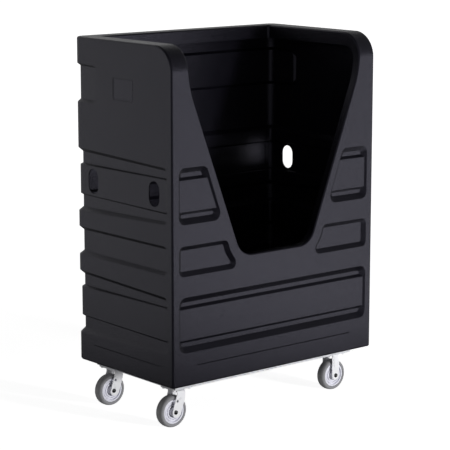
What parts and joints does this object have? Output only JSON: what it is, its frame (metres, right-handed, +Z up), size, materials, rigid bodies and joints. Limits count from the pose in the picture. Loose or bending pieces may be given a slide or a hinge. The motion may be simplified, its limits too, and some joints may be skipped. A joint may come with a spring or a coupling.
{
  "type": "bulk transport cart",
  "caption": "Tall open-topped moulded plastic tub with a V shaped loading opening in its front wall, on a steel base frame with swivel casters at one end and rigid casters at the other.",
  "frame": {"origin": "on the ground, under the middle of the tub", "axes": "+X along the cart's length from the swivel casters to the rigid casters, +Y from the loading opening to the back wall, +Z up"},
  "size_m": [1.24, 0.743, 1.77],
  "materials": {
    "black_polyethylene": "fine pebble grain, satin",
    "galvanised_steel": "galvanised, dull",
    "bright_zinc": "bright zinc plate",
    "dark_steel": "dark oiled steel",
    "grey_rubber": "matt non-marking tread",
    "light_grey_plastic": "moulded wheel core, satin"
  },
  "bodies": {
    "cart": {"cart_body": "black_polyethylene", "base_front_rail": "galvanised_steel", "base_rear_rail": "galvanised_steel", "left_caster_channel": "galvanised_steel", "right_caster_channel": "galvanised_steel", "centre_cross_channel": "galvanised_steel", "body_bolt_front_left": "bright_zinc", "body_bolt_front_right": "bright_zinc", "body_bolt_rear_left": "bright_zinc", "body_bolt_rear_right": "bright_zinc", "top_plate_front_left": "bright_zinc", "top_plate_rear_left": "bright_zinc", "king_bolt_front_left": "bright_zinc", "king_bolt_rear_left": "bright_zinc", "rigid_fork_front_right": "bright_zinc", "rigid_fork_rear_right": "bright_zinc", "spanner_bushing_front_right": "bright_zinc", "spanner_bushing_rear_right": "bright_zinc", "axle_bolt_front_right": "dark_steel", "axle_bolt_rear_right": "dark_steel", "axle_nut_front_right": "bright_zinc", "axle_nut_rear_right": "bright_zinc", "caster_bolt_front_left_1": "bright_zinc", "caster_bolt_front_left_2": "bright_zinc", "caster_bolt_front_left_3": "bright_zinc", "caster_bolt_front_left_4": "bright_zinc", "caster_bolt_front_right_1": "bright_zinc", "caster_bolt_front_right_2": "bright_zinc", "caster_bolt_front_right_3": "bright_zinc", "caster_bolt_front_right_4": "bright_zinc", "caster_bolt_rear_left_1": "bright_zinc", "caster_bolt_rear_left_2": "bright_zinc", "caster_bolt_rear_left_3": "bright_zinc", "caster_bolt_rear_left_4": "bright_zinc", "caster_bolt_rear_right_1": "bright_zinc", "caster_bolt_rear_right_2": "bright_zinc", "caster_bolt_rear_right_3": "bright_zinc", "caster_bolt_rear_right_4": "bright_zinc"},
    "swivel_front_left": {"swivel_fork_front_left": "bright_zinc", "ball_ring_front_left": "dark_steel", "spanner_bushing_front_left": "bright_zinc", "axle_bolt_front_left": "dark_steel", "axle_nut_front_left": "bright_zinc"},
    "swivel_rear_left": {"swivel_fork_rear_left": "bright_zinc", "ball_ring_rear_left": "dark_steel", "spanner_bushing_rear_left": "bright_zinc", "axle_bolt_rear_left": "dark_steel", "axle_nut_rear_left": "bright_zinc"},
    "wheel_front_left": {"tyre_front_left": "grey_rubber", "hub_front_left": "light_grey_plastic", "roller_bearing_front_left": "dark_steel"},
    "wheel_rear_left": {"tyre_rear_left": "grey_rubber", "hub_rear_left": "light_grey_plastic", "roller_bearing_rear_left": "dark_steel"},
    "wheel_front_right": {"tyre_front_right": "grey_rubber", "hub_front_right": "light_grey_plastic", "roller_bearing_front_right": "dark_steel"},
    "wheel_rear_right": {"tyre_rear_right": "grey_rubber", "hub_rear_right": "light_grey_plastic", "roller_bearing_rear_right": "dark_steel"}
  },
  "joints": [
    {"name": "swivel_turn_front_left", "type": "hinge", "parent": "cart", "child": "swivel_front_left", "pos_m": [-0.4945, -0.2388, 0.175], "axis": [0, 0, 1], "continuous": true},
    {"name": "swivel_turn_rear_left", "type": "hinge", "parent": "cart", "child": "swivel_rear_left", "pos_m": [-0.4945, 0.2388, 0.175], "axis": [0, 0, 1], "continuous": true},
    {"name": "wheel_roll_front_left", "type": "hinge", "parent": "swivel_front_left", "child": "wheel_front_left", "pos_m": [-0.527, -0.2388, 0.0762], "axis": [0, 1, 0], "continuous": true},
    {"name": "wheel_roll_rear_left", "type": "hinge", "parent": "swivel_rear_left", "child": "wheel_rear_left", "pos_m": [-0.527, 0.2388, 0.0762], "axis": [0, 1, 0], "continuous": true},
    {"name": "wheel_roll_front_right", "type": "hinge", "parent": "cart", "child": "wheel_front_right", "pos_m": [0.4823, -0.2388, 0.0762], "axis": [0, 1, 0], "continuous": true},
    {"name": "wheel_roll_rear_right", "type": "hinge", "parent": "cart", "child": "wheel_rear_right", "pos_m": [0.4823, 0.2388, 0.0762], "axis": [0, 1, 0], "continuous": true}
  ]
}
